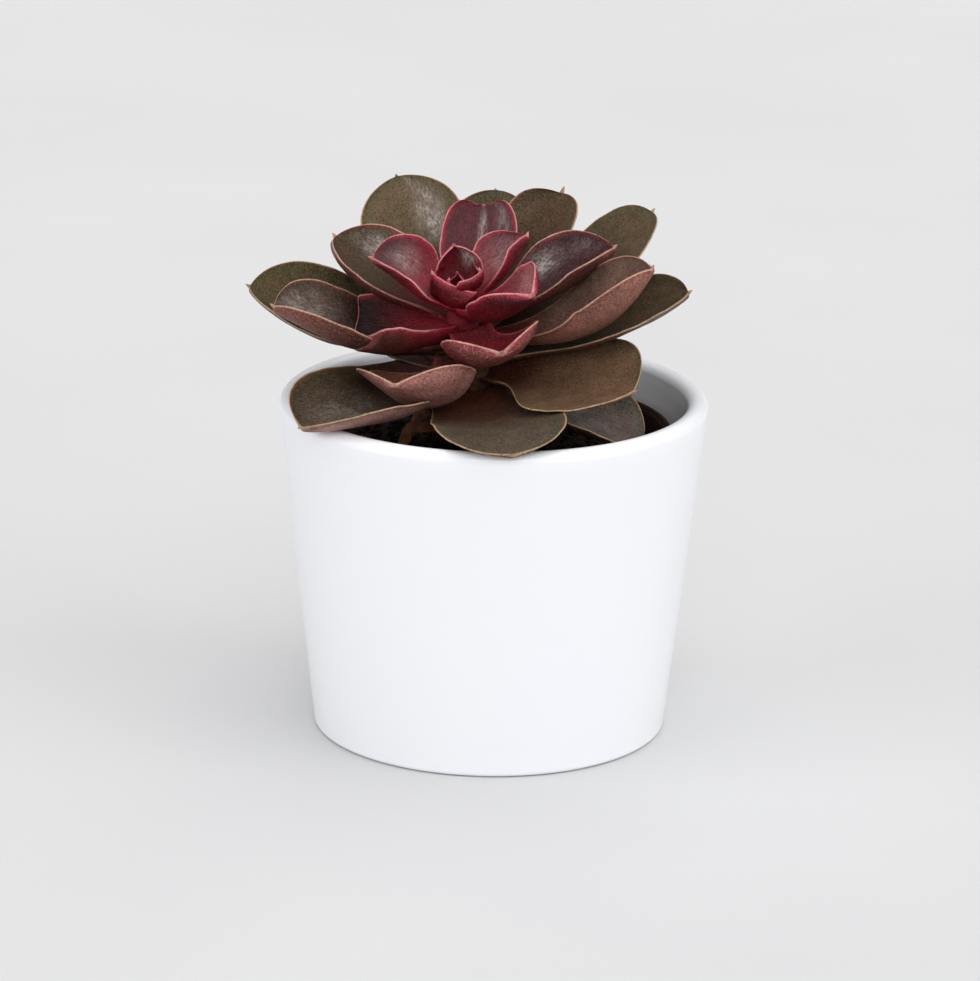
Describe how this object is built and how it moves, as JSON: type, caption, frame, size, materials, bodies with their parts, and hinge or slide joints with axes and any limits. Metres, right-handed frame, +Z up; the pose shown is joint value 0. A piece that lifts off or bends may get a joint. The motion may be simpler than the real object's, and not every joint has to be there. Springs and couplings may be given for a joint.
{
  "type": "potted echeveria",
  "caption": "Rosette succulent with broad olive brown to wine red leaves, growing in soil in a thin nursery pot inside a plain white tapering cover pot.",
  "frame": {"origin": "centre of the cover pot's flat base, on the surface that it stands on", "axes": "+Z up along the pots' axis, -Y towards the viewer of the picture, +X to the viewer's right"},
  "size_m": [0.1562, 0.1483, 0.1836],
  "materials": {
    "white_glaze": "satin",
    "terracotta_plastic": "matte",
    "dark_soil": "matte",
    "outer_leaf": "satin",
    "inner_leaf": "satin",
    "withered_leaf": "matte"
  },
  "bodies": {
    "root": {"cover_pot": "white_glaze", "leaf_back_inner": "inner_leaf", "leaf_back_left_low": "outer_leaf", "leaf_back_left_narrow": "outer_leaf", "leaf_back_left_tall": "outer_leaf", "leaf_back_low": "outer_leaf", "leaf_back_middle": "outer_leaf", "leaf_back_right": "outer_leaf", "leaf_back_right_inner": "inner_leaf", "leaf_back_right_low": "outer_leaf", "leaf_front_left_inner": "inner_leaf", "leaf_front_left_low": "outer_leaf", "leaf_front_left_middle": "outer_leaf", "leaf_front_low": "outer_leaf", "leaf_front_middle": "outer_leaf", "leaf_front_right_inner": "inner_leaf", "leaf_front_right_low": "outer_leaf", "leaf_left_back": "outer_leaf", "leaf_left_inner": "inner_leaf", "leaf_left_middle": "outer_leaf", "leaf_left_outer": "outer_leaf", "leaf_right_back": "outer_leaf", "leaf_right_inner": "inner_leaf", "leaf_right_lowest": "outer_leaf", "leaf_right_middle": "outer_leaf", "leaf_right_outer": "outer_leaf", "nursery_pot": "terracotta_plastic", "soil": "dark_soil", "stem_with_heart": "inner_leaf", "withered_leaf_arched": "withered_leaf", "withered_leaf_hanging": "withered_leaf"}
  },
  "joints": []
}
